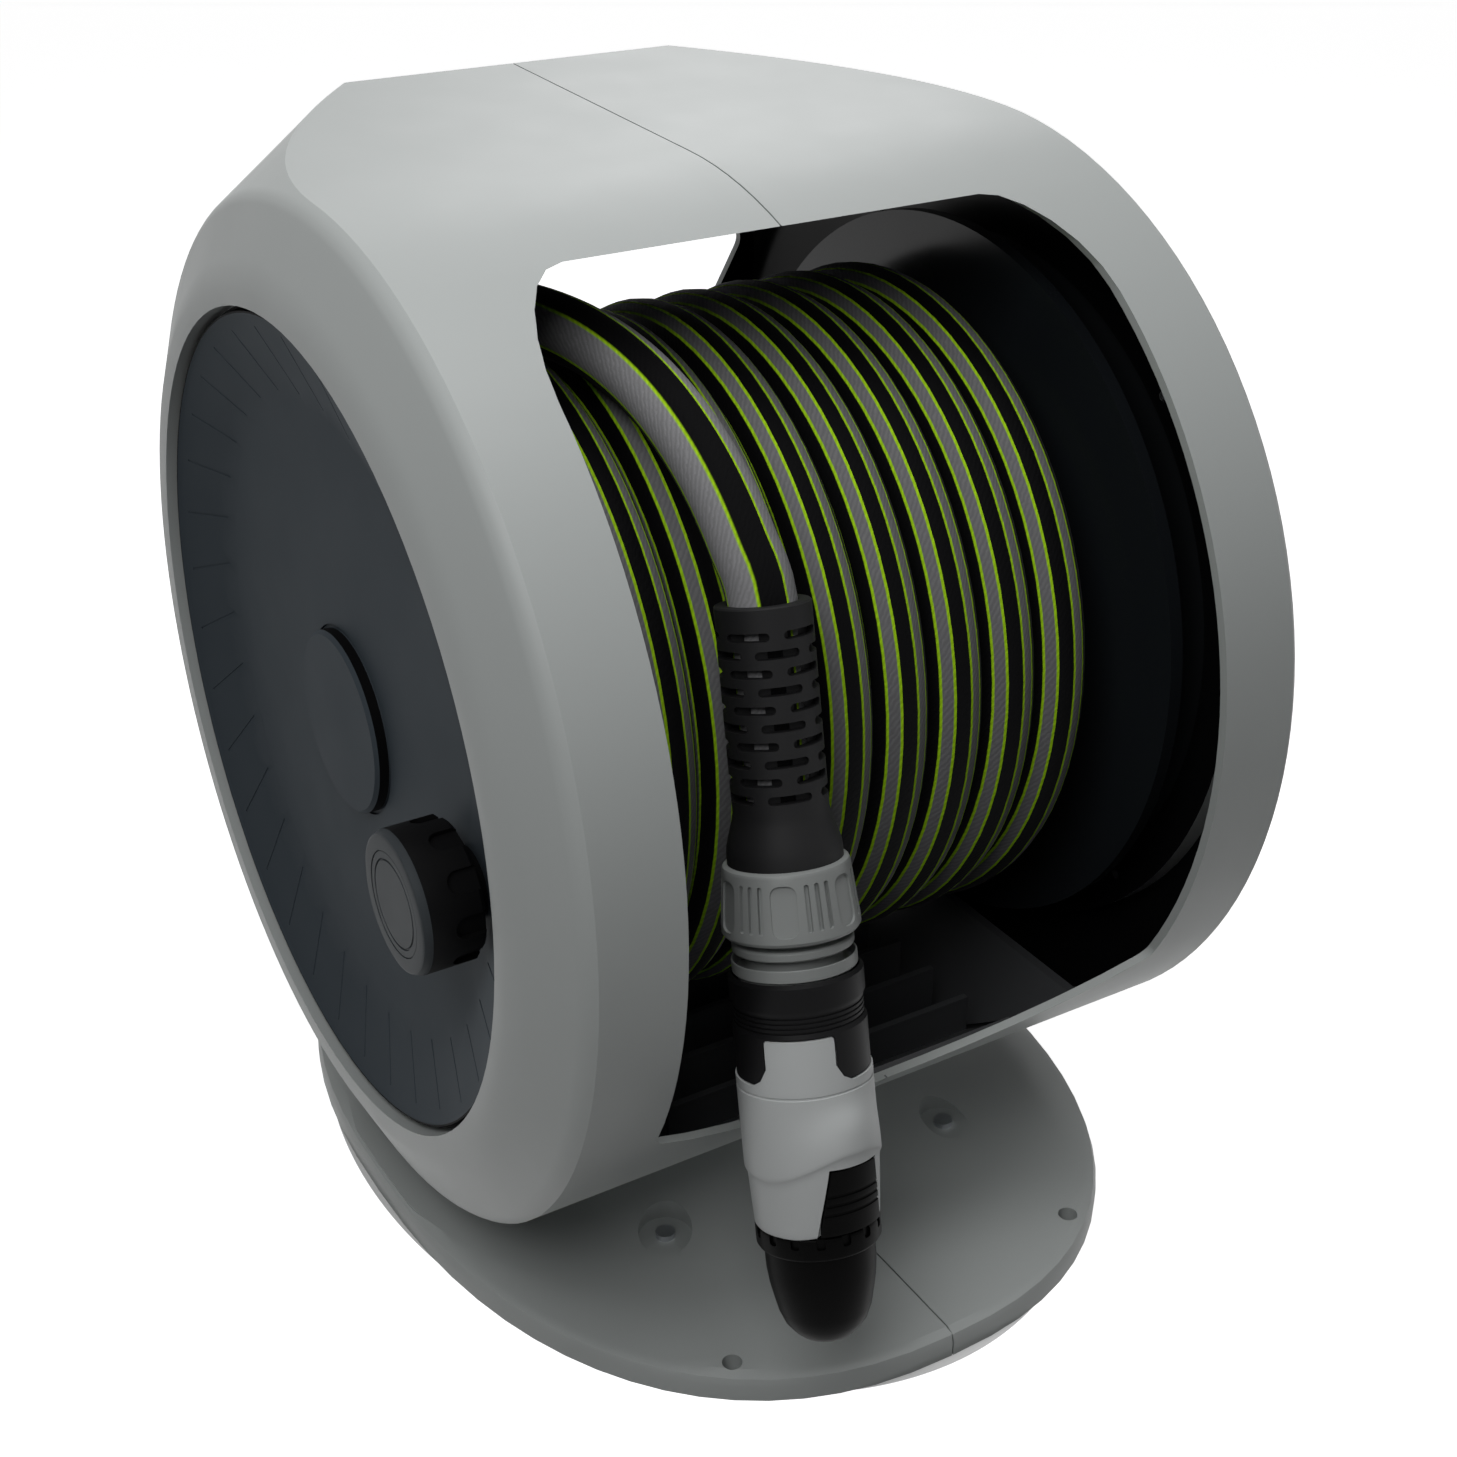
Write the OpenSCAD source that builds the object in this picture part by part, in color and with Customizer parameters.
// Portable hose reel: a round casing on a pedestal, with a crank drum, a wound
// garden hose, and a nozzle that hangs out of the front opening.
// +X runs along the drum axis away from the crank, -Y is the front, +Z is up.
// The origin lies on the floor below the middle of the drum axis.

/* [Casing] */
// Height of the casing's lowest line above the floor
casing_lift = 23.5; // [18.5:0.5:60]
// Width of the casing over its flat side rings
casing_width = 279.4; // [276:0.1:320]
// Radius of the round part of the casing
casing_radius = 171.5; // [168:0.5:180]
// Wall thickness of the casing mouldings
wall = 3; // [2:0.1:4]
// Distance of the grip corner outside the round part
corner_reach = 41.2; // [30:0.1:50]
// Angle of the grip corner above the back direction
corner_angle = 56.3; // [50:0.1:62]
// Distance from the round part in to the round hole of each side
side_hole_inset = 34.5; // [30.5:0.1:34.9]
// Width of the flat ring round each side hole
side_ring_width = 7; // [5:0.5:13]
// Depth of the first bevel along the axis
bevel_depth = 11.5; // [8:0.5:16]
// Distance from the round part in to the crease where the first bevel meets the second
crease_inset = 2.2; // [0:0.1:7]
// Rise of the second bevel for each unit of width
second_bevel_slope = 0.675; // [0.5:0.005:0.9]
// Radius of the rounding between the bevels
crease_rounding = 10.6; // [4:0.1:14]
// Depth of the collar round each side hole
collar_depth = 11; // [8:0.5:14]
// Width of the seam between the casing halves
seam_width = 0.6; // [0.2:0.1:1]
// Depth of the seam between the casing halves
seam_depth = 1.2; // [0.6:0.1:1.6]

/* [Openings] */
// Distance from the casing's side in to the front opening
front_side_margin = 42.7; // [39.7:0.1:55]
// Distance from the round part's top down to the front opening's top edge
front_top_inset = 11.5; // [8.5:0.5:30]
// Height of the opening's bottom corners above the casing's lowest line
sill_height = 87.5; // [81.5:0.5:100]
// Sag of the sill between its corners
sill_sag = 24; // [10:1:28]
// Radius of the front opening's top corners
front_top_rounding = 24; // [8:1:42]
// Radius of the bottom corners
sill_rounding = 6; // [3:0.5:10]
// Distance from the casing's side in to the back opening at its widest place
back_side_margin = 26.7; // [24.7:0.1:40]
// Distance from the round part's top down to the back opening's top edge
back_top_inset = 23.5; // [19.5:0.5:50]
// Radius of the back opening's corners
back_rounding = 9; // [4:0.5:12]

/* [Base] */
// Half width of the base plate
base_half_width = 132; // [125:1:150]
// Half depth of the base plate
base_half_depth = 177; // [168:1:200]
// Power of the base plate's rounded outline
base_outline_power = 2.35; // [2:0.05:3]
// Thickness of the base plate
base_thickness = 9.7; // [8:0.1:14]
// Height and depth of the bevel along the plate's top edge
base_edge = 4; // [2:0.5:5]
// Radius of the pedestal's neck under the casing
neck_radius = 72; // [60:1:85]
// Power of the pedestal's hollow flare
flare_power = 2.2; // [1.6:0.1:3]
// Spacing of the floor bolts along X
bolt_spacing_x = 140; // [110:1:150]
// Spacing of the floor bolts along Y
bolt_spacing_y = 300; // [270:1:310]
// Radius of the floor bolt holes
bolt_hole_radius = 3.4; // [2.2:0.1:4]
// Wall round each floor bolt hole
bolt_boss_wall = 4.6; // [3:0.1:6]
// Spacing of the screw pockets along X
pocket_spacing_x = 120; // [100:1:130]
// Spacing of the screw pockets along Y
pocket_spacing_y = 176; // [160:1:190]
// Radius of a screw pocket
pocket_radius = 9.5; // [7:0.1:11]
// Height of a pocket's floor
pocket_floor = 12; // [11:0.1:13]
// Thickness of the tie plate under the base
tie_thickness = 3.2; // [2.6:0.1:4]
// Radius of a foot pad
pad_radius = 8; // [5:0.5:12]
// Thickness of a foot pad
pad_thickness = 2; // [1:0.1:2.2]

/* [Drum] */
// Distance from the casing's side in to the inner face of a flange
drum_inset = 31.2; // [30.2:0.1:31.5]
// Distance from the casing's round part in to the right flange's edge
right_flange_inset = 38.5; // [37.5:0.5:46]
// Distance from the casing's round part in to the left flange's edge
left_flange_inset = 45.5; // [43.5:0.5:51]
// Thickness of the flanges
flange_thickness = 3; // [2:0.1:4]
// Width of the right flange's turned rim
flange_rim = 5; // [3.5:0.1:7]
// Outer radius of the spool tube
spool_radius = 43; // [36:0.5:60]
// Wall of the spool tube
spool_wall = 3; // [2:0.1:5]
// Wall of the hub tube
hub_wall = 4; // [3:0.1:6]

/* [Hose] */
// Outer diameter of the hose
hose_d = 20.6; // [16:0.1:20.8]
// Distance from the casing's round part in to the middle of the outer layer
winding_inset = 64; // [63.5:0.1:73.5]
// Distance between turns of the outer layer
winding_pitch = 21.2; // [21.05:0.01:21.4]
// Width of the groove beside the left flange, where the hose leaves the drum
groove_width = 23.2; // [22.7:0.1:26]
// Gap between the outer layer and the layers below
layer_gap = 0.5; // [0.4:0.1:1]

/* [Crank] */
// Radial gap between the crank disc and its hole
disc_gap = 1.5; // [0.6:0.1:3]
// Depth of the disc's rim inside the side plane
rim_inset = 3.2; // [2:0.1:6]
// Depth of the disc's flat middle inside the side plane
middle_inset = 14.2; // [12:0.1:15]
// Width of the disc's slope round its flat middle
slope_width = 31.5; // [23.5:0.5:45]
// Wall of the disc
disc_wall = 3; // [2:0.1:3.5]
// Width of the disc's edge rounding
disc_edge = 2.5; // [1:0.1:4]
// Radius of the hub cap
hub_cap_radius = 31; // [28:0.5:45]
// Height of the hub cap above the disc
hub_cap_height = 4.5; // [3.5:0.1:6]

/* [Knob] */
// Distance from the disc's edge in to the knob's middle
knob_edge = 42.7; // [37.5:0.1:55]
// Angle of the knob below the front direction
knob_angle = 7.7; // [0:0.1:45]
// Radius of the knob
knob_radius = 22.5; // [18:0.1:24]
// Length of the knob's wide body
knob_length = 20; // [16:0.5:26]
// Distance of the knob's face outside the side plane
knob_reach = 11.3; // [10:0.1:20]
// Radius of the knob's pin
knob_pin_radius = 5; // [3:0.1:7]
// Radius of the knob's face insert
knob_cap_radius = 16.5; // [12:0.5:18]
// Thickness of the knob's face insert
knob_cap_thickness = 2.5; // [1.5:0.1:4]
// Number of grip notches round the knob
knob_notches = 10; // [6:1:14]

/* [Axle and inlet] */
// Radius of the fixed axle
axle_radius = 12; // [9:0.1:13]
// Radius of the water bore
water_radius = 6; // [4:0.1:6.5]
// Radial running clearance of shafts
running = 0.05; // [0.02:0.01:0.1]
// Wall of a bush
bush_wall = 4; // [2:0.1:6]
// Length of a bush
bush_length = 11; // [8:0.5:16]
// Radius of the inlet nipple's sealing stretch
nipple_radius = 7.9; // [7.6:0.1:10]
// Length of the inlet nipple's sealing stretch
nipple_length = 10; // [8:0.5:12]
// Depth of the right cover's flat face inside the side plane
cover_inset = 3.7; // [3.2:0.1:5]
// Depth of the right cover's hub face inside the side plane
cover_hub_inset = 20.7; // [19.5:0.1:21]

/* [Tray] */
// Distance from the casing's side in to the tray's floor
tray_floor_margin = 77.7; // [69.7:0.1:90]
// Distance from the casing's side in to the top of the tray's side walls
tray_top_margin = 38.7; // [37.7:0.1:50]
// Height of the tray's ribs above the casing's lowest line
tray_height = 50.5; // [43.5:0.5:53.5]
// Half angle that the tray covers
tray_half_angle = 46; // [35:1:50]
// Thickness of the tray
tray_thickness = 2.5; // [1.5:0.1:4]
// Distance between the tray's ribs
tray_rib_pitch = 21; // [16:0.5:30]

/* [Hose end and nozzle] */
// Backward tilt of the hanging hose end
hang_tilt = 17.2; // [16.5:0.1:20]
// Sideways lean of the hanging hose end
hang_lean = 4.26; // [0:0.01:6]
// Length of the slotted sleeve
sleeve_length = 76.7; // [70:0.1:90]
// Diameter of the slotted sleeve
sleeve_d = 28.7; // [27:0.1:30]
// Diameter of the sleeve's foot
sleeve_foot_d = 34.7; // [32:0.1:36]
// Rows of slots in the sleeve
sleeve_rows = 10; // [6:1:10]
// Height of a slot
slot_height = 2.2; // [1.2:0.1:2.8]
// Distance between rows of slots
slot_pitch = 5.3; // [4.6:0.1:5.4]
// Length of the clamp nut
nut_length = 21.6; // [18:0.1:26]
// Diameter of the clamp nut at its top
nut_d = 38.4; // [37:0.1:40]
// Diameter of the clamp nut at its foot
nut_foot_d = 41.8; // [40:0.1:43]
// Diameter of the connector's neck
neck_d = 29.4; // [28.5:0.1:32]
// Diameter of the connector's first ring
ring_one_d = 36.8; // [34:0.1:38]
// Diameter of the connector's second ring
ring_two_d = 37.9; // [35:0.1:38.2]
// Length of the connector below the nut
connector_length = 28; // [27:0.1:30]
// Diameter of the release sleeve
release_d = 40.8; // [40:0.1:42]
// Travel of the release sleeve
release_travel = 4; // [2:0.1:5]
// Diameter of the nozzle's body
nozzle_d = 41.6; // [40:0.1:42]
// Length of the nozzle's body
nozzle_length = 63; // [58:0.1:66]
// Diameter of the black ring under the body
nozzle_ring_d = 38.6; // [36:0.1:39]
// Diameter of the nose
nose_d = 34.4; // [30:0.1:35]
// Diameter of the nose at its tip
nose_tip_d = 27; // [22:0.1:28]
// Length of the nose
nose_length = 32.4; // [28:0.1:36]
// Height of the bulge above the thumb button
bulge_height = 3.4; // [2:0.1:4]
// Width of the thumb button at its foot
button_width = 22; // [16:0.5:23]
// Width of the thumb button's top as a share of its foot
button_top_share = 0.73; // [0.6:0.01:1]
// Length of the thumb button
button_length = 21; // [16:0.5:22]
// Travel of the thumb button
button_travel = 2; // [1:0.1:3]
// Direction in which the thumb button faces
button_turn = -87; // [-95:1:-70]

/* [Fasteners] */
// Radius of a screw's shank
screw_radius = 1.75; // [1.5:0.05:1.9]
// Radius of a screw's head
screw_head_radius = 3.4; // [2.8:0.1:3.6]
// Thickness of a screw's head
screw_head = 2.2; // [1.6:0.1:2.8]

/* [Hidden] */

$fn = 96;
arc_steps = 6;
over = 5;
fit = 0.3;
snug = 0.1;

casing_grey = [0.60, 0.62, 0.61];
dark_grey = [0.27, 0.29, 0.31];
black = [0.08, 0.08, 0.09];
light_grey = [0.66, 0.67, 0.67];
nut_grey = [0.45, 0.46, 0.46];
lime = [0.45, 0.55, 0.12];
steel = [0.62, 0.63, 0.65];

half_casing = casing_width / 2;
axis_height = casing_radius + casing_lift;
corner_distance = casing_radius + corner_reach;
tangent_angle = acos(casing_radius / corner_distance);
side_hole_radius = casing_radius - side_hole_inset;
side_ring_radius = side_hole_radius + side_ring_width;
crease_x = half_casing - bevel_depth;
crease_radius = casing_radius - crease_inset;
ridge_radius = crease_radius + second_bevel_slope * crease_x;
collar_radius = side_hole_radius + wall;

front_half_width = half_casing - front_side_margin;
front_top = casing_radius - front_top_inset;
sill_drop = casing_radius - sill_height;
back_half_width = half_casing - back_side_margin;
back_top = casing_radius - back_top_inset;
// Shares of the back opening's half width and top height, from the side up to the top
back_outline_share = [[0.94, 0.45], [1, 0.61], [0.89, 0.80], [0.62, 1]];
back_side = 0.85 * back_half_width;
back_side_top = 0.3 * back_top;

casing_floor = axis_height - sqrt(pow(casing_radius, 2) - pow(neck_radius, 2));
flare_rise = casing_floor - base_thickness + wall;
flare_span = base_half_width - neck_radius;

half_drum = half_casing - drum_inset;
right_flange_radius = casing_radius - right_flange_inset;
left_flange_radius = casing_radius - left_flange_inset;
hose_r = hose_d / 2;
hub_outer = axle_radius + bush_wall + hub_wall;
turn_rings = 24;
hose_sides = 6;
tail_sides = 10;
winding_start = 253;
half_step = 180 / turn_rings;
winding_radius = casing_radius - winding_inset;
winding_turns = floor((2 * half_drum - groove_width - hose_d - layer_gap) / winding_pitch);
first_turn_x = groove_width + hose_r - half_drum;
layers_radius = winding_radius * cos(half_step) - hose_r - layer_gap;
disc_rim_x = -(half_casing - rim_inset);
disc_middle_x = -(half_casing - middle_inset);
disc_radius = side_hole_radius - disc_gap;
middle_radius = disc_radius - slope_width;
collar_x = disc_middle_x + disc_wall;
collar_outer = hub_cap_radius - snug;
axle_end_x = collar_x + disc_wall;
clip_thickness = 1.6;
clip_radius = axle_radius + bush_wall - fit - snug;
bush_x = axle_end_x + snug + clip_thickness + fit;
right_bush_x = half_drum + flange_thickness - bush_length;
cover_x = half_casing - cover_inset;
cover_hub_x = half_casing - cover_hub_inset;
cover_hub_radius = 2 * hub_outer + wall;
cover_dish_radius = 3 * hub_outer;
disc_screw_circle = (axle_radius + bush_wall + collar_outer) / 2;
seat_width = 4 * wall;

tray_half_width = half_casing - tray_floor_margin;
tray_top_half_width = half_casing - tray_top_margin;
tray_top_drop = casing_radius - tray_height;

knob_face_x = -(half_casing + knob_reach);
knob_back_x = knob_face_x + knob_length;
knob_neck_radius = 0.5 * knob_radius;
knob_throw = disc_radius - knob_edge;
knob_place = [0, -knob_throw * cos(knob_angle), -knob_throw * sin(knob_angle)];

// Route of the free hose from the groove beside the left flange, over the back and the top to
// the front: distance from the left flange, angle round the drum from the front over the top,
// and height above the middle of the outer layer
tail_route = [
    [11.5, 259.9, -0.1], [11.5, 246.9, 0], [11.5, 234, 0], [11.5, 221, 0], [11.5, 208.1, 0],
    [11.5, 195, 0], [11.5, 182.1, 0], [11.5, 169, 0], [11.5, 156.1, 0], [12, 142.9, 0],
    [12.5, 130, 0.5], [12.5, 121, 4], [14, 113, 11], [20, 105.5, 17.2], [28, 98.5, 21],
    [37, 92, 22], [46, 85.5, 22.1], [53, 79.5, 22.2], [58.5, 73.5, 22.4], [62.5, 67, 22.9],
    [65, 60, 24.1], [66.3, 52.5, 26], [67, 45, 27.8], [67.3, 37.5, 29.2]
];
// Middle of the sleeve's top in the same way
hang_place = [67.5, 30.4, 29.8];

slots_round = 5;
slot_top = 8.4;
sleeve_flare = 15.2;
nut_top = sleeve_length;
nut_foot = nut_top + nut_length;
hose_end = nut_top + wall;
ring_one_top = nut_foot + 2.2;
ring_one_foot = ring_one_top + 3.1;
ring_two_top = ring_one_foot + 2;
ring_two_foot = ring_one_foot + 6;
release_top = ring_two_foot + fit;
release_step = release_top + 9;
connector_foot = nut_foot + connector_length;
tongue_length = 15;
tongue_angle = 117;
tongue_middle = -34;
tongue_wall = 2.7;
tongue_foot = connector_foot + tongue_length;
nozzle_top = connector_foot + fit + snug;
nozzle_foot = nozzle_top + nozzle_length;
nozzle_ring_length = 7;
ring_foot = nozzle_foot + nozzle_ring_length;
nose_top = ring_foot + fit;
nose_foot = nose_top + nose_length;
core_d = release_d - 2 * (tongue_wall + fit + snug);
stem_radius = 9;
stem_length = 12;
stem_top = ring_foot - stem_length;
bulge_middle = nozzle_top + 0.58 * nozzle_length;
bulge_radius = 22;
button_middle = nozzle_foot - 0.56 * button_length;
button_depth = 4;
button_high = 1.9;
button_low = -0.3;
nut_turn = 24;
nut_groove_step = 9.5;

// Helpers for outlines

function unit(v) = v / norm(v);
function left_of(v) = [-v[1], v[0]];

// Corner b of the outline a, b, c moved in by d
function inset_corner(a, b, c, d) =
    let (first = left_of(unit(b - a)), second = left_of(unit(c - b)))
    b + d * (first + second) / (1 + first * second);

// Points of an arc that rounds the corner b between a and c
function round_corner(a, b, c, r) =
    let (u = unit(a - b), v = unit(c - b), half = acos(u * v) / 2,
         middle = b + unit(u + v) * r / sin(half),
         from = b + u * r / tan(half) - middle, to = b + v * r / tan(half) - middle,
         start = atan2(from[1], from[0]), turn = atan2(to[1], to[0]) - start,
         sweep = turn > 180 ? turn - 360 : turn < -180 ? turn + 360 : turn)
    [for (i = [0:arc_steps]) middle + r * [cos(start + sweep * i / arc_steps), sin(start + sweep * i / arc_steps)]];

// Closed outline with each corner rounded by its radius, or left sharp where that is 0
function rounded(points, radii) = let (n = len(points))
    [for (i = [0:n - 1]) each radii[i] > 0
        ? round_corner(points[(i + n - 1) % n], points[i], points[(i + 1) % n], radii[i])
        : [points[i]]];

function flipped(points) = [for (i = [len(points) - 1:-1:0]) [-points[i][0], points[i][1]]];

// Helpers for placing solids

// Point over the drum from its distance from the left flange, its angle and its height
function over_drum(p) = let (r = winding_radius + p[2])
    [p[0] - half_drum, -r * cos(p[1]), r * sin(p[1])];

hang_top = over_drum(hang_place);

module at_axis() {
    translate([0, 0, axis_height]) children();
}

// Solid of revolution round the drum axis, from points of [x, radius]
module turned(points) {
    rotate([0, 90, 0])
        rotate_extrude()
            polygon([for (p = points) [p[1], p[0]]]);
}

module rod(from, to, r) {
    translate([from, 0, 0])
        rotate([0, 90, 0])
            cylinder(h = to - from, r = r);
}

module tube_x(from, to, outer, inner) {
    difference() {
        rod(from, to, outer);
        rod(from - over, to + over, inner);
    }
}

// Extrusion along X of an outline in Y and Z
module along_x(from, to) {
    translate([from, 0, 0])
        rotate([90, 0, 90])
            linear_extrude(height = to - from)
                children();
}

// Copies turned about the drum axis
module around_x(count, first = 0) {
    for (i = [0:count - 1])
        rotate([first + 360 * i / count, 0, 0])
            children();
}

module four_corners(dx, dy) {
    for (x = [-dx / 2, dx / 2])
        for (y = [-dy / 2, dy / 2])
            translate([x, y, 0])
                children();
}

// Frame of the hanging hose end: t runs down from the sleeve's top
module at_hang() {
    at_axis()
        translate(hang_top)
            rotate([-hang_tilt, hang_lean, 0])
                children();
}

// Solid of revolution round the hanging axis, from points of [t, radius]
module hung(points) {
    rotate_extrude()
        polygon([for (p = points) [p[1], -p[0]]]);
}

// Casing

module block_outline(d) {
    r = casing_radius - d;
    reach = r / cos(tangent_angle);
    circle(r = r, $fn = 180);
    polygon([
        [0, 0],
        r * [cos(corner_angle - tangent_angle), sin(corner_angle - tangent_angle)],
        reach * [cos(corner_angle), sin(corner_angle)],
        r * [cos(corner_angle + tangent_angle), sin(corner_angle + tangent_angle)]
    ]);
}

function bevel_outline(d) =
    let (side = [half_casing, 0], ring = [half_casing, side_ring_radius],
         crease = [crease_x, crease_radius], ridge = [0, ridge_radius],
         crease_in = inset_corner(ring, crease, ridge, d),
         ring_in = inset_corner(side, ring, crease, d),
         ridge_in = inset_corner(crease, ridge, [-crease_x, crease_radius], d))
    concat([[half_casing - d, 0], ring_in], round_corner(ring_in, crease_in, ridge_in, crease_rounding - d / 2),
        [ridge_in]);

module casing_body(d) {
    half = bevel_outline(d);
    intersection() {
        along_x(-casing_width, casing_width) block_outline(d);
        turned(concat(half, flipped([for (i = [0:len(half) - 2]) half[i]])));
    }
}

function sill_points(n) =
    let (side = front_half_width - 1 / n,
         r = (pow(side, 2) + pow(sill_sag, 2)) / (2 * sill_sag), a = asin(side / r))
    [for (i = [1 - n:n - 1]) [r * sin(a * i / n), -sill_drop - sill_sag + r - r * cos(a * i / n)]];

module front_cut() {
    side = front_half_width;
    corners = concat([[-side, front_top], [-side, -sill_drop]], sill_points(arc_steps),
        [[side, -sill_drop], [side, front_top]]);
    count = len(corners);
    radii = [for (i = [0:count - 1])
        i == 0 || i == count - 1 ? front_top_rounding : i == 1 || i == count - 2 ? sill_rounding : 0];
    rotate([90, 0, 0])
        linear_extrude(height = 2 * casing_radius)
            polygon(rounded(corners, radii));
}

module back_cut() {
    sides = [for (s = back_outline_share) [s[0] * back_half_width, s[1] * back_top]];
    right = concat([[back_side, -sill_drop], [back_side, back_side_top]], sides);
    corners = concat(right, flipped(right), sill_points(arc_steps));
    turns = [for (i = [0:2 * len(right) - 1])
        i == 0 || i == 2 * len(right) - 1 ? sill_rounding : back_rounding];
    radii = concat(turns, [for (p = sill_points(arc_steps)) 0]);
    mirror([0, 1, 0])
        rotate([90, 0, 0])
            linear_extrude(height = 2 * casing_radius)
                polygon(rounded(corners, radii));
}

module casing_walls() {
    difference() {
        casing_body(0);
        casing_body(wall);
        rod(-casing_width, casing_width, side_hole_radius);
        front_cut();
        back_cut();
    }
    for (side = [0, 1])
        mirror([side, 0, 0])
            tube_x(half_casing - collar_depth, half_casing - wall / 2, collar_radius, side_hole_radius);
}

// Base

function base_point(a, d) = [
    (base_half_width - d) * sign(cos(a)) * pow(abs(cos(a)), 2 / base_outline_power),
    (base_half_depth - d) * sign(sin(a)) * pow(abs(sin(a)), 2 / base_outline_power)
];

module base_outline(d) {
    polygon([for (a = [0:5:355]) base_point(a, d)]);
}

// Outline of the pedestal's flare, from its foot up to its neck, moved in by d
function flare_points(d) = [for (i = [0:2 * arc_steps])
    let (t = i / (2 * arc_steps))
    [base_half_width - d - flare_span * t, base_thickness - d + flare_rise * pow(t, flare_power)]];

module flare(d) {
    top = base_thickness - d + flare_rise;
    rotate_extrude()
        polygon(concat([[0, 0], [base_half_width - d, 0]], flare_points(d), [[0, top]]));
}

module base_block() {
    linear_extrude(height = base_thickness - base_edge)
        base_outline(0);
    hull() {
        linear_extrude(height = base_thickness - base_edge)
            base_outline(0);
        linear_extrude(height = base_thickness - base_edge / 3)
            base_outline(base_edge / 4);
        linear_extrude(height = base_thickness)
            base_outline(base_edge);
    }
    intersection() {
        flare(0);
        linear_extrude(height = axis_height)
            base_outline(base_edge / 2);
    }
}

module base_hollow() {
    translate([0, 0, -over])
        linear_extrude(height = base_thickness - wall + over)
            base_outline(wall);
    difference() {
        flare(wall);
        at_axis() casing_body(0);
    }
}

module base_walls() {
    difference() {
        base_block();
        difference() {
            base_hollow();
            four_corners(bolt_spacing_x, bolt_spacing_y)
                cylinder(h = axis_height, r = bolt_hole_radius + bolt_boss_wall);
            four_corners(pocket_spacing_x, pocket_spacing_y)
                translate([0, 0, pocket_floor - wall])
                    cylinder(h = axis_height, r = pocket_radius + wall / 2);
        }
        at_axis() casing_body(wall / 2);
        four_corners(bolt_spacing_x, bolt_spacing_y)
            translate([0, 0, -over])
                cylinder(h = axis_height, r = bolt_hole_radius);
        four_corners(pocket_spacing_x, pocket_spacing_y) {
            translate([0, 0, pocket_floor])
                cylinder(h = casing_floor - pocket_floor - wall, r = pocket_radius);
            cylinder(h = axis_height, r = screw_radius + snug);
        }
    }
}

// Screw bosses inside the casing, beside the seam: under the grip corner and above the front opening
boss_radius = 5;
boss_length = 16;
boss_places = [
    (corner_distance - 4 * boss_radius) * [cos(corner_angle), sin(corner_angle)],
    (casing_radius - wall - boss_radius + snug) * [cos(98), sin(98)]
];

module casing_whole() {
    difference() {
        union() {
            at_axis() casing_walls();
            base_walls();
            at_axis()
                intersection() {
                    casing_body(wall / 2);
                    for (p = boss_places)
                        along_x(-boss_length, boss_length)
                            translate(p)
                                circle(r = boss_radius);
                }
            at_axis()
                intersection() {
                    casing_body(wall / 2);
                    along_x(-boss_length, boss_length)
                        translate(boss_places[0] - [wall / 2, 0])
                            square([wall, 4 * boss_radius]);
                }
        }
        at_axis()
            for (p = boss_places)
                along_x(-boss_length - over, boss_length - wall)
                    translate(p)
                        circle(r = screw_radius + snug);
        difference() {
            translate([-seam_width / 2, -casing_width, -over])
                cube([seam_width, 2 * casing_width, 2 * casing_width]);
            at_axis() casing_body(seam_depth);
            base_core();
        }
    }
}

// The base's inside, which the seam doesn't reach
module base_core() {
    translate([0, 0, -2 * over])
        linear_extrude(height = base_thickness - seam_depth + 2 * over)
            base_outline(seam_depth);
    flare(seam_depth);
}

module half_space(side) {
    translate([side < 0 ? -casing_width : 0, -casing_width, -over])
        cube([casing_width, 2 * casing_width, 2 * casing_width]);
}

module left_casing() {
    color(casing_grey)
        intersection() {
            casing_whole();
            half_space(-1);
        }
}

module right_casing() {
    color(casing_grey) {
        intersection() {
            casing_whole();
            half_space(1);
        }
        at_axis()
            difference() {
                tube_x(cover_x - 2 * wall, cover_x - wall, collar_radius, side_hole_radius - seat_width);
                around_x(4, 45) translate([0, 0, side_hole_radius - seat_width / 2])
                    rod(cover_x - 3 * wall, cover_x, screw_radius + snug);
            }
    }
}

module base_plate() {
    color(black)
        difference() {
            union() {
                linear_extrude(height = tie_thickness)
                    base_outline(wall + fit);
                four_corners(pocket_spacing_x, pocket_spacing_y)
                    cylinder(h = pocket_floor - wall, r = screw_radius + wall);
            }
            four_corners(bolt_spacing_x, bolt_spacing_y)
                translate([0, 0, -over])
                    cylinder(h = axis_height, r = bolt_hole_radius + bolt_boss_wall + fit);
            four_corners(pocket_spacing_x, pocket_spacing_y)
                translate([0, 0, wall / 2])
                    cylinder(h = axis_height, r = screw_radius + running);
            four_corners(2 * neck_radius, 2 * neck_radius)
                translate([0, 0, -over])
                    cylinder(h = pad_thickness + over, r = pad_radius + snug);
        }
}

module foot_pads() {
    color(dark_grey)
        four_corners(2 * neck_radius, 2 * neck_radius)
            cylinder(h = pad_thickness, r = pad_radius);
}

// Tray

module tray_sector() {
    reach = 2 * casing_radius;
    polygon([[0, 0], reach * [-sin(tray_half_angle), -cos(tray_half_angle)],
        reach * [sin(tray_half_angle), -cos(tray_half_angle)]]);
}

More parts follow.
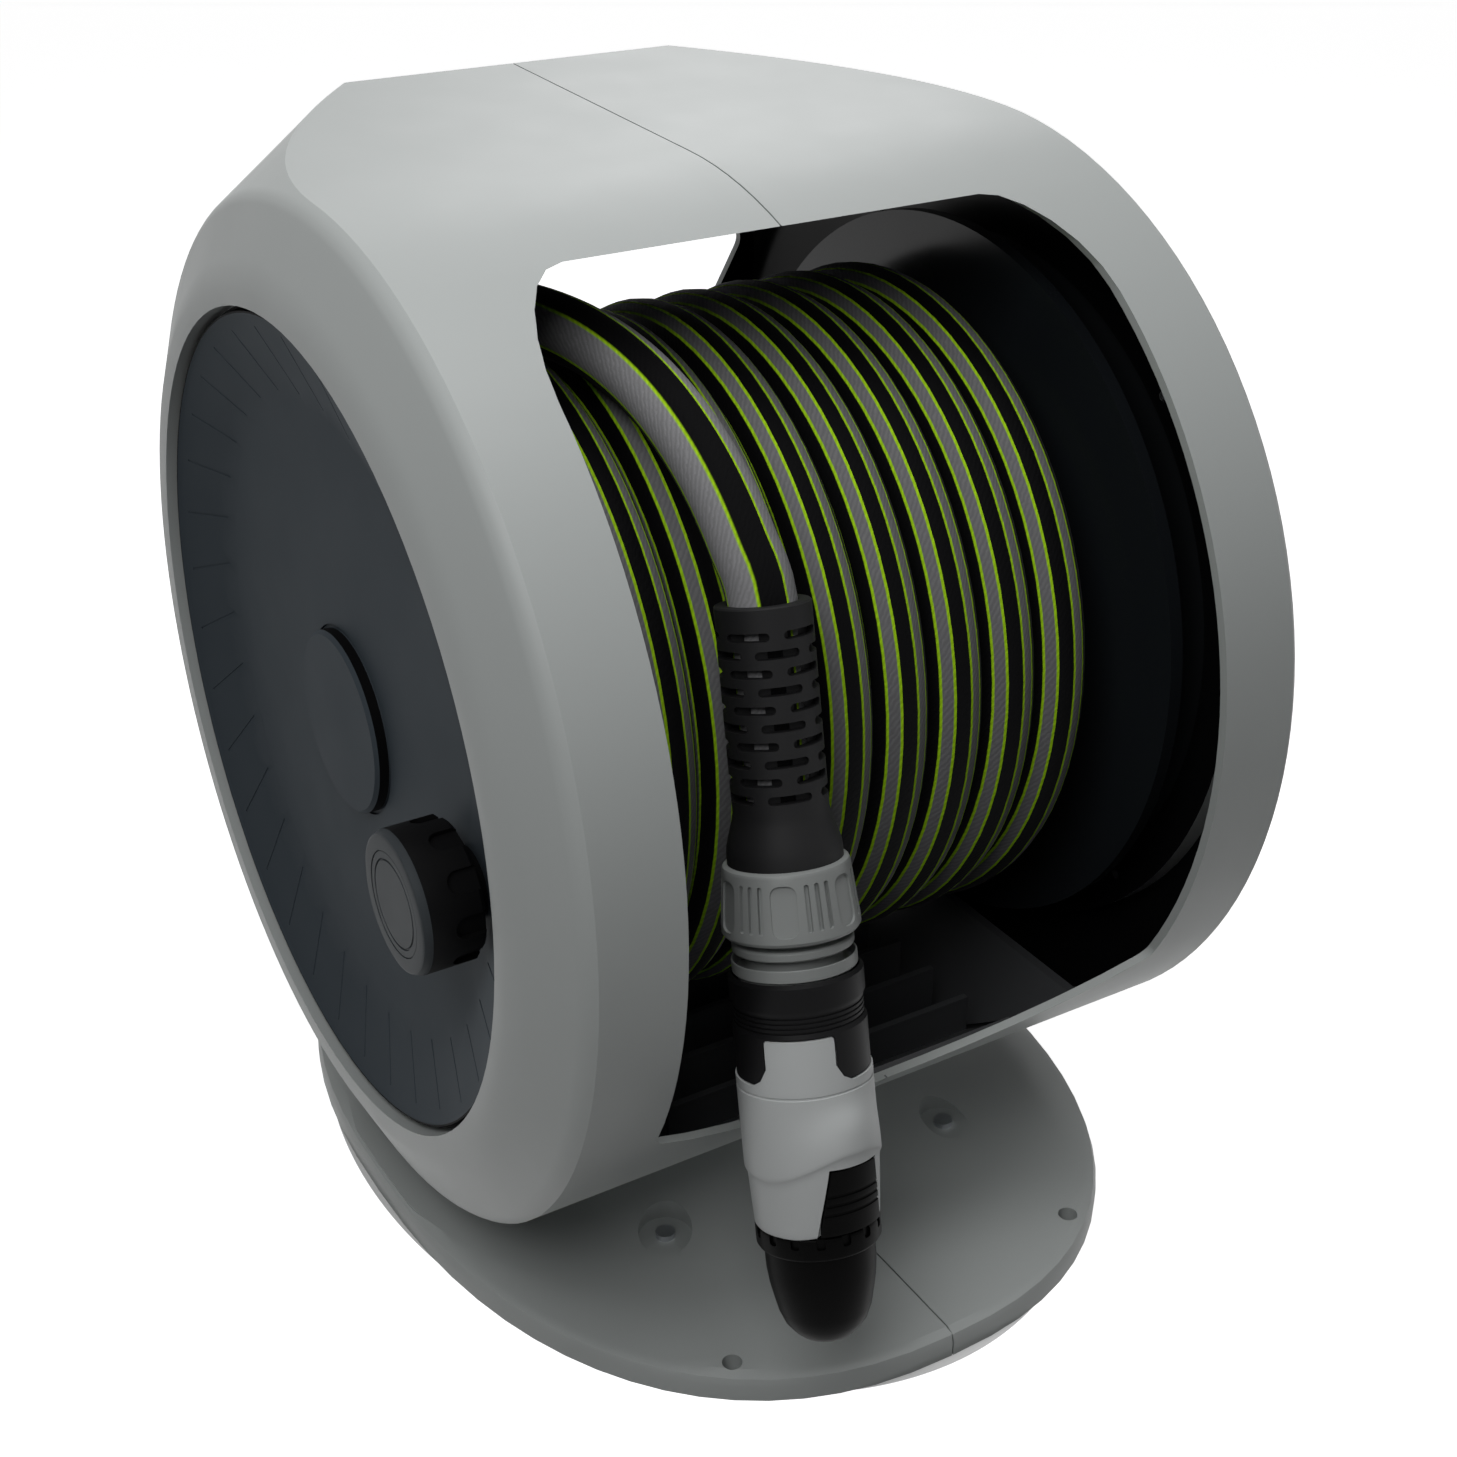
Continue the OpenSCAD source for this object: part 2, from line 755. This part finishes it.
module tray() {
    outer = casing_radius - wall - fit;
    inner = outer - tray_thickness;
    side_top = tray_top_drop + tray_thickness;
    ribs = floor(outer * sin(tray_half_angle) / tray_rib_pitch);
    color(black) at_axis() {
        along_x(-tray_half_width, tray_half_width)
            intersection() {
                difference() {
                    circle(r = outer);
                    circle(r = inner);
                }
                tray_sector();
            }
        along_x(-tray_half_width, tray_half_width)
            intersection() {
                for (i = [0.5 - ribs:ribs - 0.5])
                    translate([i * tray_rib_pitch - tray_thickness / 2, -outer])
                        square([tray_thickness, outer - tray_top_drop]);
                circle(r = (inner + outer) / 2);
            }
        for (side = [0, 1])
            mirror([side, 0, 0])
                intersection() {
                    rotate([90, 0, 0])
                        translate([0, 0, -outer])
                            linear_extrude(height = 2 * outer)
                                polygon([
                                    [tray_half_width - 2 * tray_thickness, -outer],
                                    [tray_half_width, -outer],
                                    [tray_top_half_width, -side_top],
                                    [tray_top_half_width - 1.5 * tray_thickness, -side_top]
                                ]);
                    along_x(-casing_width, casing_width)
                        intersection() {
                            circle(r = outer);
                            tray_sector();
                        }
                }
    }
}

// Right cover, axle and inlet

module right_cover() {
    rim = side_hole_radius - snug;
    hub_back = half_drum + flange_thickness + 2 * snug + fit;
    color(dark_grey) at_axis()
        difference() {
            turned([
                [cover_x, 0], [cover_x, rim], [cover_x - wall, rim],
                [cover_x - wall, cover_dish_radius + wall / 2], [cover_hub_x - wall, cover_hub_radius + wall / 2],
                [cover_hub_x - wall, hub_outer], [hub_back, hub_outer], [hub_back, 0]
            ]);
            turned([
                [cover_hub_x, 0], [cover_hub_x, cover_hub_radius], [cover_x, cover_dish_radius],
                [cover_x + over, cover_dish_radius], [cover_x + over, 0]
            ]);
            rod(half_drum, half_casing, axle_radius + running);
            around_x(4, 45) translate([0, 0, side_hole_radius - seat_width / 2])
                rod(cover_x - over, cover_x + over, screw_radius + snug);
        }
}

module axle_tube() {
    color(steel) at_axis()
        difference() {
            tube_x(axle_end_x, cover_hub_x, axle_radius, water_radius);
            rod(axle_end_x - over, axle_end_x + wall, water_radius);
            rotate([90, 0, 0])
                cylinder(h = over + axle_radius, r = water_radius / 2);
        }
}

module axle_clip() {
    color(steel) at_axis()
        tube_x(axle_end_x + snug, axle_end_x + snug + clip_thickness, clip_radius, axle_radius + running);
}

module inlet_nipple() {
    flange = axle_radius + wall + wall;
    tip = cover_hub_x + wall + wall + nipple_length;
    color(black) at_axis()
        difference() {
            turned([
                [cover_hub_x, 0], [cover_hub_x, flange], [cover_hub_x + wall, flange],
                [cover_hub_x + wall, nipple_radius + wall / 2], [cover_hub_x + 2 * wall, nipple_radius + wall / 2],
                [cover_hub_x + 2 * wall, nipple_radius], [tip, nipple_radius], [tip + wall / 2, water_radius],
                [tip + wall / 2, 0]
            ]);
            rod(cover_hub_x - over, tip + over, water_radius);
        }
}

module inlet_seal() {
    color(black) at_axis()
        tube_x(right_bush_x - wall, right_bush_x - snug, axle_radius + bush_wall - snug, axle_radius + running);
}

// Drum

module drum_core() {
    bush_outer = axle_radius + bush_wall;
    web_x = half_drum - flange_thickness;
    color(black) at_axis()
        difference() {
            union() {
                tube_x(collar_x, half_drum + flange_thickness, hub_outer, bush_outer);
                tube_x(collar_x, -half_drum - flange_thickness, collar_outer, bush_outer);
                tube_x(-half_drum, half_drum, spool_radius, spool_radius - spool_wall);
                for (x = [-half_drum, -spool_wall / 2, web_x])
                    tube_x(x, x + flange_thickness, spool_radius - spool_wall / 2, hub_outer - hub_wall / 2);
            }
            around_x(4, 45) translate([0, 0, disc_screw_circle])
                rod(collar_x - over, -half_drum - flange_thickness - wall, screw_radius + running);
            rotate([90, 0, 0])
                cylinder(h = 2 * spool_radius, r = water_radius + wall / 2);
        }
}

module left_flange() {
    color(dark_grey) at_axis()
        tube_x(-half_drum - flange_thickness, -half_drum, left_flange_radius, collar_outer + snug);
}

module right_flange() {
    color(dark_grey) at_axis()
        turned([
            [half_drum, hub_outer + snug], [half_drum, right_flange_radius],
            [half_drum + flange_rim, right_flange_radius],
            [half_drum + flange_rim, right_flange_radius - flange_thickness],
            [half_drum + flange_thickness, right_flange_radius - 2 * flange_thickness],
            [half_drum + flange_thickness, hub_outer + snug]
        ]);
}

module left_bush() {
    color("white") at_axis()
        tube_x(bush_x, bush_x + bush_length, axle_radius + bush_wall - snug / 2, axle_radius + running);
}

module right_bush() {
    color("white") at_axis()
        tube_x(right_bush_x, right_bush_x + bush_length, axle_radius + bush_wall - snug / 2, axle_radius + running);
}

module hose_elbow() {
    color(black) at_axis()
        difference() {
            rotate([90, 0, 0])
                translate([0, 0, axle_radius + fit])
                    cylinder(h = spool_radius - axle_radius - spool_wall, r = water_radius + wall / 2 - snug);
            rotate([90, 0, 0])
                cylinder(h = 2 * spool_radius, r = water_radius - wall / 2);
        }
}

// Hose

function winding_point(i) = let (a = winding_start + 2 * i * half_step)
    [first_turn_x + winding_pitch * i / turn_rings, -winding_radius * cos(a), winding_radius * sin(a)];

winding_route = [for (i = [0:winding_turns * turn_rings]) winding_point(i)];

// Direction of a route at point i
function heading(route, i) =
    unit(route[min(i + 1, len(route) - 1)] - route[max(i - 1, 0)]);

// Points of the ring round point i, the first one facing away from the drum axis
function ring_at(route, i, r, sides) =
    let (p = route[i], t = heading(route, i), away = unit([0, p[1], p[2]]),
         across = unit(cross(t, away)), out = cross(across, t))
    [for (k = [0:sides - 1]) p + r * (cos(360 * k / sides) * out + sin(360 * k / sides) * across)];

function tube_faces(rings, sides) = concat(
    [for (i = [0:rings - 2]) for (k = [0:sides - 1])
        let (a = i * sides + k, b = i * sides + (k + 1) % sides)
        each [[a, b + sides, b], [a, a + sides, b + sides]]],
    [for (k = [1:sides - 2]) [0, k, k + 1]],
    [for (k = [1:sides - 2]) let (last = (rings - 1) * sides) [last, last + k + 1, last + k]]);

module swept(route, r, sides) {
    polyhedron(
        points = [for (i = [0:len(route) - 1]) each ring_at(route, i, r, sides)],
        faces = tube_faces(len(route), sides),
        convexity = winding_turns
    );
}

least_gap = min([for (i = [0:len(winding_route) - 1 - turn_rings / 2])
    for (j = [i + turn_rings / 2:len(winding_route) - 1])
        norm(winding_route[j] - winding_route[i])]) - hose_d;
echo(str("Least gap of the wound hose to itself: ", least_gap, " mm"));

function summed(route, i = 1) =
    i == len(route) ? 0 : norm(route[i] - route[i - 1]) + summed(route, i + 1);

// Where the outer layer comes up from the layer below, a short stub stands for the rising hose
module rise_stub(angle, x, direction) {
    chord = winding_radius * sin(half_step);
    lead = atan(winding_pitch / turn_rings / (2 * chord));
    intersection() {
        rod(-half_drum, half_drum, winding_radius + hose_r * cos(half_step));
        translate([x, 0, 0])
            rotate([-angle, 0, 0])
                translate([0, -winding_radius * cos(half_step), direction * chord])
                    rotate([0, lead, 0])
                        translate([0, 0, direction < 0 ? -hose_r : 0]) {
                            rotate([0, 0, 90])
                                cylinder(h = hose_r, r = hose_r - wall / 2, $fn = hose_sides);
                            translate([-hose_r / 2, 0, 0])
                                cube([hose_r, hose_r + layer_gap + wall, hose_r]);
                        }
    }
}

module hose_layers() {
    last = len(winding_route) - 1;
    color(dark_grey) at_axis() {
        tube_x(-half_drum, half_drum, layers_radius, spool_radius + snug);
        rise_stub(winding_start + half_step, winding_route[0][0], -1);
        rise_stub(winding_start + (2 * last - 1) * half_step, winding_route[last][0], 1);
    }
}

module wound_hose() {
    color(lime) at_axis() swept(winding_route, hose_r, hose_sides);
}

// Direction of the hanging axis, and a point at distance t below the sleeve's top
hang_down = [-cos(hang_tilt) * sin(hang_lean), -sin(hang_tilt), -cos(hang_tilt) * cos(hang_lean)];
function hang_point(t) = hang_top + t * hang_down;

full_tail = concat([for (p = tail_route) over_drum(p)],
    [for (t = [0, sleeve_length / 2, hose_end]) hang_point(t)]);
echo(str("Length of the free hose: ", summed(full_tail), " mm"));
echo(str("Hanging axis: ", hang_down, " from ", hang_top + [0, 0, axis_height]));
echo(str("Thumb button: ", hang_point(button_middle) + [0, 0, axis_height]));

module hose_tail() {
    color(lime) at_axis() swept(full_tail, hose_r, tail_sides);
}

// Crank disc

module crank_disc() {
    rim = disc_radius;
    inner = disc_wall;
    slope_top = disc_rim_x + disc_edge / 2;
    back = -(half_casing - collar_depth);
    color(dark_grey) at_axis()
        difference() {
            union() {
                turned([
                    [disc_middle_x, axle_radius], [disc_middle_x, middle_radius],
                    [slope_top, rim - disc_edge], [disc_rim_x, rim - disc_edge / 2],
                    [disc_rim_x, rim - disc_edge / 4], [disc_rim_x + disc_edge, rim],
                    [back, rim], [back, rim - disc_wall],
                    [slope_top + inner, rim - disc_wall], [disc_middle_x + inner, middle_radius],
                    [disc_middle_x + inner, axle_radius]
                ]);
                translate(knob_place)
                    rod(disc_middle_x, disc_middle_x + disc_wall + collar_depth / 2, knob_pin_radius + disc_wall);
            }
            around_x(4, 45) translate([0, 0, disc_screw_circle])
                rod(disc_middle_x - over, collar_x + over, screw_radius + snug);
            translate(knob_place)
                rod(disc_middle_x - over, collar_x + collar_depth, knob_pin_radius + running);
        }
}

module hub_cap() {
    back = disc_middle_x;
    face = back - hub_cap_height;
    inner = hub_cap_radius - disc_wall;
    color(dark_grey) at_axis()
        turned([
            [face, 0], [face, hub_cap_radius - disc_edge / 2], [face + disc_edge / 2, hub_cap_radius],
            [back, hub_cap_radius], [back, inner], [face + screw_head / 2, inner], [face + screw_head / 2, 0]
        ]);
}

module disc_screws() {
    color(steel) at_axis()
        around_x(4, 45) translate([0, 0, disc_screw_circle]) {
            rod(disc_middle_x - screw_head, disc_middle_x, screw_head_radius);
            rod(disc_middle_x, -half_drum - flange_thickness - wall - snug, screw_radius);
        }
}

// Knob

module knob_pin() {
    head = knob_face_x + knob_cap_thickness + snug;
    color(steel) at_axis() translate(knob_place) {
        rod(head, collar_x + collar_depth / 2, knob_pin_radius);
        rod(head, head + disc_wall, knob_pin_radius + disc_wall / 2);
    }
}

module knob() {
    pocket = knob_face_x + knob_cap_thickness;
    shoulder = pocket + snug + disc_wall + fit;
    notch = knob_radius / 6;
    neck_back = disc_middle_x - fit;
    color(black) at_axis() translate(knob_place)
        difference() {
            turned([
                [knob_face_x, 0], [knob_face_x, knob_radius - disc_edge],
                [knob_face_x + disc_edge, knob_radius], [knob_back_x - disc_edge / 2, knob_radius],
                [knob_back_x, knob_radius - disc_edge / 2], [knob_back_x, knob_neck_radius],
                [neck_back, knob_neck_radius], [neck_back, 0]
            ]);
            rod(knob_face_x - over, pocket, knob_cap_radius + snug);
            rod(pocket - over, shoulder, knob_pin_radius + disc_wall / 2 + fit);
            rod(pocket, neck_back + over, knob_pin_radius + running);
            around_x(knob_notches) translate([0, 0, knob_radius + notch / 2])
                rod(knob_face_x + knob_length / 2, knob_back_x + over, notch);
        }
}

module knob_cap() {
    color(dark_grey) at_axis() translate(knob_place)
        rod(knob_face_x, knob_face_x + knob_cap_thickness, knob_cap_radius);
}

// Fasteners

module casing_screws() {
    color(steel) at_axis()
        for (p = boss_places)
            translate([0, p[0], p[1]]) {
                rod(-boss_length - screw_head, -boss_length, screw_head_radius);
                rod(-boss_length, boss_length - wall - snug, screw_radius);
            }
}

module base_screws() {
    color(steel)
        four_corners(pocket_spacing_x, pocket_spacing_y) {
            translate([0, 0, pocket_floor])
                cylinder(h = screw_head, r = screw_head_radius);
            translate([0, 0, wall / 2 + snug])
                cylinder(h = pocket_floor - wall / 2 - snug, r = screw_radius);
        }
}

module cover_screws() {
    color(steel) at_axis()
        around_x(4, 45) translate([0, 0, side_hole_radius - seat_width / 2]) {
            rod(cover_x, cover_x + screw_head, screw_head_radius);
            rod(cover_x - 2 * wall, cover_x, screw_radius);
        }
}

// Hose end and nozzle

module bend_sleeve() {
    foot = sleeve_foot_d / 2;
    bore = hose_r + fit;
    color(black) at_hang()
        difference() {
            hung([
                [0, bore], [0, sleeve_d / 2], [sleeve_length - sleeve_flare, sleeve_d / 2],
                [sleeve_length - sleeve_flare / 3, foot - snug], [sleeve_length, foot], [sleeve_length, bore]
            ]);
            for (row = [0:sleeve_rows - 1])
                translate([0, 0, -slot_top - row * slot_pitch])
                    for (i = [0:slots_round - 1])
                        rotate([0, 0, 360 / slots_round * (i + row % 2 / 2)])
                            translate([0, -sleeve_d / 5, -slot_height / 2])
                                cube([sleeve_d, sleeve_d / 2.5, slot_height]);
        }
}

module clamp_nut() {
    groove = wall / 4;
    color(nut_grey) at_hang()
        difference() {
            hung([
                [nut_top, hose_r + fit], [nut_top, nut_d / 2 - wall / 2], [nut_top + wall / 2, nut_d / 2],
                [nut_foot - wall, nut_foot_d / 2], [nut_foot - wall / 4, nut_foot_d / 2],
                [nut_foot, nut_foot_d / 2 - wall / 4], [nut_foot, neck_d / 2 + snug],
                [hose_end - snug, neck_d / 2 + snug], [hose_end - snug, hose_r + fit]
            ]);
            for (i = [0:5])
                for (k = [-1:1])
                    rotate([0, 0, 60 * i + nut_turn + nut_groove_step * k])
                        translate([nut_d / 2, -groove, -nut_foot + wall])
                            cube([nut_d, 2 * groove, nut_length - 2 * wall]);
        }
}

module connector_body() {
    neck = neck_d / 2;
    color(nut_grey) at_hang()
        hung([
            [hose_end, water_radius], [hose_end, neck - snug], [ring_one_top, neck - snug],
            [ring_one_top, ring_one_d / 2], [ring_one_foot, ring_one_d / 2],
            [ring_one_foot, neck], [ring_two_top, neck], [ring_two_top + wall / 3, ring_two_d / 2],
            [ring_two_foot, ring_two_d / 2], [ring_two_foot, core_d / 2],
            [connector_foot, core_d / 2], [connector_foot, water_radius]
        ]);
}

module coupling_seal() {
    color(black) at_hang()
        hung([
            [connector_foot, water_radius], [connector_foot, water_radius + wall],
            [nozzle_top, water_radius + wall], [nozzle_top, water_radius]
        ]);
}

module release_sleeve() {
    outer = release_d / 2;
    inner = core_d / 2 + fit;
    over_ring = ring_two_d / 2 + fit;
    groove = wall / 6;
    color(black) at_hang()
        difference() {
            hung([
                [release_top, over_ring], [release_top, outer - wall / 3], [release_top + wall / 3, outer],
                [release_step - wall / 3, outer], [release_step, outer - snug],
                [tongue_foot, outer - snug], [tongue_foot, inner],
                [release_step - wall / 2, inner], [release_step - wall / 2, over_ring]
            ]);
            for (i = [1:4])
                translate([0, 0, -release_step - i * wall / 2])
                    difference() {
                        cylinder(h = groove, r = outer + over);
                        translate([0, 0, -over])
                            cylinder(h = groove + 2 * over, r = outer - 2 * groove);
                    }
            for (turn = [0, 180])
                rotate([0, 0, turn + tongue_middle + 90])
                    translate([0, 0, -tongue_foot - over])
                        linear_extrude(height = tongue_foot + over - connector_foot + snug)
                            sector(release_d, 180 - tongue_angle);
        }
}

// Sector of a circle, centred on +X
module sector(reach, angle) {
    polygon(concat([[0, 0]], [for (i = [-1:1]) reach * [cos(i * angle / 2), sin(i * angle / 2)]]));
}

module nozzle_body() {
    r = nozzle_d / 2;
    color(light_grey) at_hang()
        difference() {
            union() {
                hung([
                    [nozzle_top, 0], [nozzle_top, r - wall / 4], [nozzle_top + tongue_length, r],
                    [bulge_middle, r], [nozzle_foot, nozzle_ring_d / 2], [nozzle_foot, 0]
                ]);
                translate([0, 0, -bulge_middle])
                    rotate([0, 0, button_turn])
                        translate([r + bulge_height - bulge_radius, 0, 0])
                            sphere(r = bulge_radius);
            }
            hung([
                [nozzle_top - over, 0], [nozzle_top - over, water_radius],
                [stem_top - fit, water_radius], [stem_top - fit, stem_radius + running],
                [nozzle_foot + over, stem_radius + running], [nozzle_foot + over, 0]
            ]);
            for (turn = [0, 180])
                rotate([0, 0, turn + tongue_middle])
                    translate([0, 0, -tongue_foot - fit])
                        linear_extrude(height = tongue_length + over)
                            difference() {
                                sector(nozzle_d, tongue_angle + 3);
                                circle(r = core_d / 2);
                            }
            at_button() button_shape(fit, button_travel + fit);
        }
}

module at_button() {
    translate([0, 0, -button_middle])
        rotate([0, 0, button_turn])
            translate([nozzle_d / 2, 0, 0])
                children();
}

// Trapezoid block that reaches above the bulge, grown by side and sunk by below
module button_shape(side, below) {
    end = button_length / 2 + side;
    foot = button_width / 2 + side;
    top = button_width * button_top_share / 2 + side;
    translate([-button_depth - below, 0, 0])
        rotate([0, 90, 0])
            linear_extrude(height = button_depth + below + bulge_height + over)
                polygon([[-end, -top], [end, -foot], [end, foot], [-end, top]]);
}

// Radius of the thumb button's face at distance t below its middle
function button_r(t) = nozzle_d / 2 + (button_high + button_low) / 2
    + t * (button_low - button_high) / button_length;

module nozzle_button() {
    ridge = wall / 3;
    color(black) at_hang()
        difference() {
            intersection() {
                at_button() button_shape(0, 0);
                hung([
                    [button_middle - button_length, 0],
                    [button_middle - button_length, button_r(-button_length)],
                    [button_middle + button_length, button_r(button_length)],
                    [button_middle + button_length, 0]
                ]);
            }
            for (i = [-1:1])
                hung([
                    [button_middle + i * wall, button_r(i * wall) - ridge / 2],
                    [button_middle + i * wall, button_r(i * wall) + over],
                    [button_middle + i * wall + ridge, button_r(i * wall) + over],
                    [button_middle + i * wall + ridge, button_r(i * wall) - ridge / 2]
                ]);
        }
}

module nozzle_ring() {
    outer = nozzle_ring_d / 2;
    color(black) at_hang()
        difference() {
            hung([
                [nozzle_foot, stem_radius + running], [nozzle_foot, outer - wall / 6],
                [nozzle_foot + wall / 3, outer], [ring_foot - wall / 3, outer],
                [ring_foot, outer - wall / 6], [ring_foot, stem_radius + running]
            ]);
            for (i = [0:11])
                rotate([0, 0, 30 * i])
                    translate([outer - wall / 3, -wall / 2, -ring_foot - over])
                        cube([wall, wall, over + nozzle_ring_length / 2]);
        }
}

module nozzle_nose() {
    r = nose_d / 2;
    tip = nose_tip_d / 2;
    color(black) at_hang()
        hung([
            [stem_top, 0], [stem_top, stem_radius], [nose_top, stem_radius],
            [nose_top, r], [nose_top + nose_length / 3, r - wall / 4], [nose_foot - 2 * wall, tip + wall / 3],
            [nose_foot - wall / 2, tip - wall / 2], [nose_foot, tip - 2 * wall], [nose_foot, 0]
        ]);
}

left_casing();
right_casing();
base_plate();
foot_pads();
tray();
right_cover();
axle_tube();
axle_clip();
inlet_nipple();
inlet_seal();
casing_screws();
base_screws();
cover_screws();
drum_core();
left_flange();
right_flange();
left_bush();
right_bush();
hose_elbow();
hose_layers();
wound_hose();
crank_disc();
hub_cap();
disc_screws();
knob_pin();
knob();
knob_cap();
hose_tail();
bend_sleeve();
clamp_nut();
connector_body();
coupling_seal();
release_sleeve();
nozzle_body();
nozzle_button();
nozzle_ring();
nozzle_nose();
